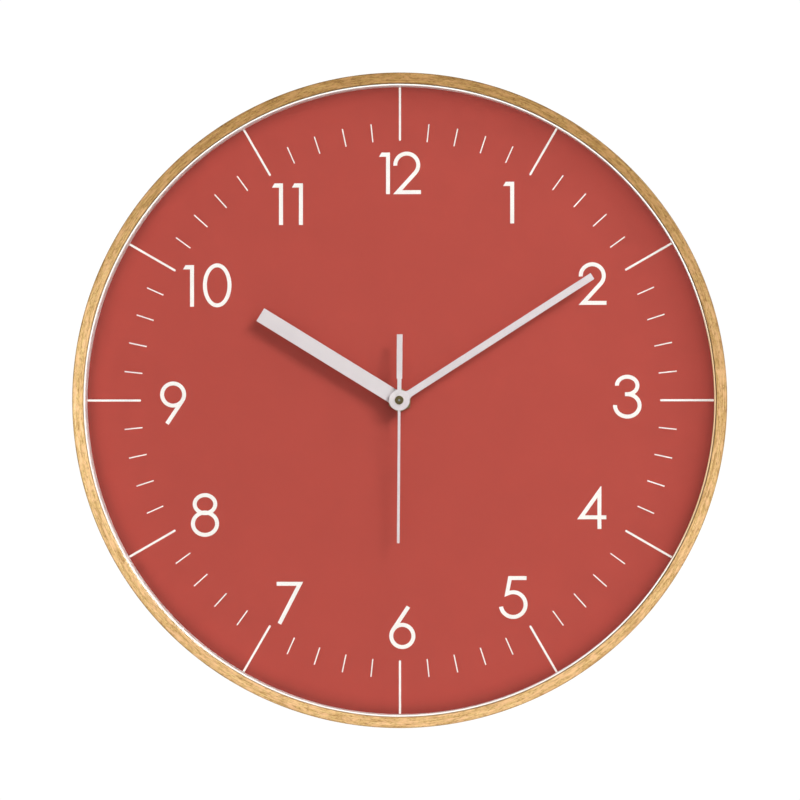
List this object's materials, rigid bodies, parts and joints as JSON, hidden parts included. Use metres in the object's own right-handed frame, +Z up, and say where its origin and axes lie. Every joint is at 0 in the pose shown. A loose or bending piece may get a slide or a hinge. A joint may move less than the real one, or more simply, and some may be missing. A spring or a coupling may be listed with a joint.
{
  "type": "wall clock",
  "caption": "Round wall clock: thin bent-wood rim, glass over a red dial with white marks and numerals, three flat hands, and a battery quartz movement with a keyhole hanger behind.",
  "frame": {"origin": "centre of the wooden frame's rear rim, on the hands' axis, in the plane of the wall", "axes": "+Z up, +Y into the wall, -Y the way the dial faces, +X to the right as seen from the front"},
  "size_m": [0.305, 0.04, 0.305],
  "materials": {
    "bent_wood": "bent beech veneer band, thin clear satin lacquer, grain along the rim",
    "white_plastic": "white moulded plastic, soft gloss",
    "clear_glass": "clear flat float glass, polished",
    "fibreboard": "bare fibreboard",
    "dial_print": "matt red printed sheet",
    "white_print": "white printing ink",
    "zinc_steel": "bright zinc-plated steel",
    "brass": "turned brass",
    "rubber": "black rubber",
    "black_plastic": "black moulded plastic, fine texture",
    "gear_plastic": "natural white acetal",
    "green_plastic": "green moulded or coated plastic",
    "motor_iron": "stamped soft iron",
    "copper_wire": "enamelled copper wire, wound",
    "magnet": "sintered magnet",
    "cell_can": "bright nickel-plated can, with the density of a whole cell",
    "cell_wrap": "plain dark shrink sleeve",
    "hand_paint": "stamped aluminium with light grey satin paint"
  },
  "bodies": {
    "clock": {"wood_frame": "bent_wood", "front_ring": "white_plastic", "spacer_ring": "white_plastic", "glass_lens": "clear_glass", "dial_board": "fibreboard", "dial_face": "dial_print", "minute_marks": "white_print", "hour_marks": "white_print", "numerals": "white_print", "board_clips": "zinc_steel", "clip_screws": "brass", "hanger_bracket": "zinc_steel", "rubber_gasket": "rubber", "centre_bush": "brass", "centre_nut": "brass", "movement_case": "black_plastic", "movement_cover": "black_plastic", "gear_bridge": "gear_plastic", "stator": "motor_iron", "coil_bobbin": "green_plastic", "coil_winding": "copper_wire", "circuit_board": "green_plastic", "chip_blob": "black_plastic", "quartz_crystal": "zinc_steel", "positive_contact": "brass", "negative_contact": "brass"},
    "hour": {"hour_wheel": "gear_plastic", "hour_hand": "hand_paint"},
    "minute": {"minute_pipe": "gear_plastic", "centre_wheel": "gear_plastic", "clutch_spring": "zinc_steel", "minute_hand": "hand_paint"},
    "second": {"second_arbor": "zinc_steel", "second_wheel": "gear_plastic", "second_pinion": "gear_plastic", "second_hand": "hand_paint", "second_bush": "brass"},
    "third": {"third_wheel": "gear_plastic"},
    "fifth": {"fifth_wheel": "gear_plastic"},
    "rotor": {"rotor_pinion": "gear_plastic", "rotor_magnet": "magnet"},
    "setting": {"minute_wheel": "gear_plastic", "setting_knob": "black_plastic"},
    "battery": {"battery_cell": "cell_can", "battery_sleeve": "cell_wrap"}
  },
  "joints": [
    {"name": "minute_turn", "type": "hinge", "parent": "clock", "child": "minute", "pos_m": [0, 0, 0], "axis": [0, 1, 0], "continuous": true},
    {"name": "hour_turn", "type": "hinge", "parent": "clock", "child": "hour", "pos_m": [0, 0, 0], "axis": [0, 1, 0], "continuous": true},
    {"name": "second_turn", "type": "hinge", "parent": "clock", "child": "second", "pos_m": [0, 0, 0], "axis": [0, 1, 0], "continuous": true},
    {"name": "setting_turn", "type": "hinge", "parent": "clock", "child": "setting", "pos_m": [0.0105, 0, 0], "axis": [0, 1, 0], "continuous": true},
    {"name": "third_turn", "type": "hinge", "parent": "clock", "child": "third", "pos_m": [0.00272, 0, 0.01014], "axis": [0, 1, 0], "continuous": true},
    {"name": "fifth_turn", "type": "hinge", "parent": "clock", "child": "fifth", "pos_m": [-0.00575, 0, 0.00482], "axis": [0, 1, 0], "continuous": true},
    {"name": "rotor_turn", "type": "hinge", "parent": "clock", "child": "rotor", "pos_m": [-0.01244, 0, 0.006], "axis": [0, 1, 0], "continuous": true},
    {"name": "battery_slide", "type": "slide", "parent": "clock", "child": "battery", "axis": [0, 1, 0], "range_m": [0, 0.03]}
  ],
  "couplings": [
    {"joint": "hour_turn", "follows": "minute_turn", "ratio": 0.083333},
    {"joint": "second_turn", "follows": "minute_turn", "ratio": 60},
    {"joint": "setting_turn", "follows": "minute_turn", "ratio": -0.33333},
    {"joint": "third_turn", "follows": "minute_turn", "ratio": -7.5},
    {"joint": "fifth_turn", "follows": "minute_turn", "ratio": -240},
    {"joint": "rotor_turn", "follows": "minute_turn", "ratio": 1800}
  ]
}
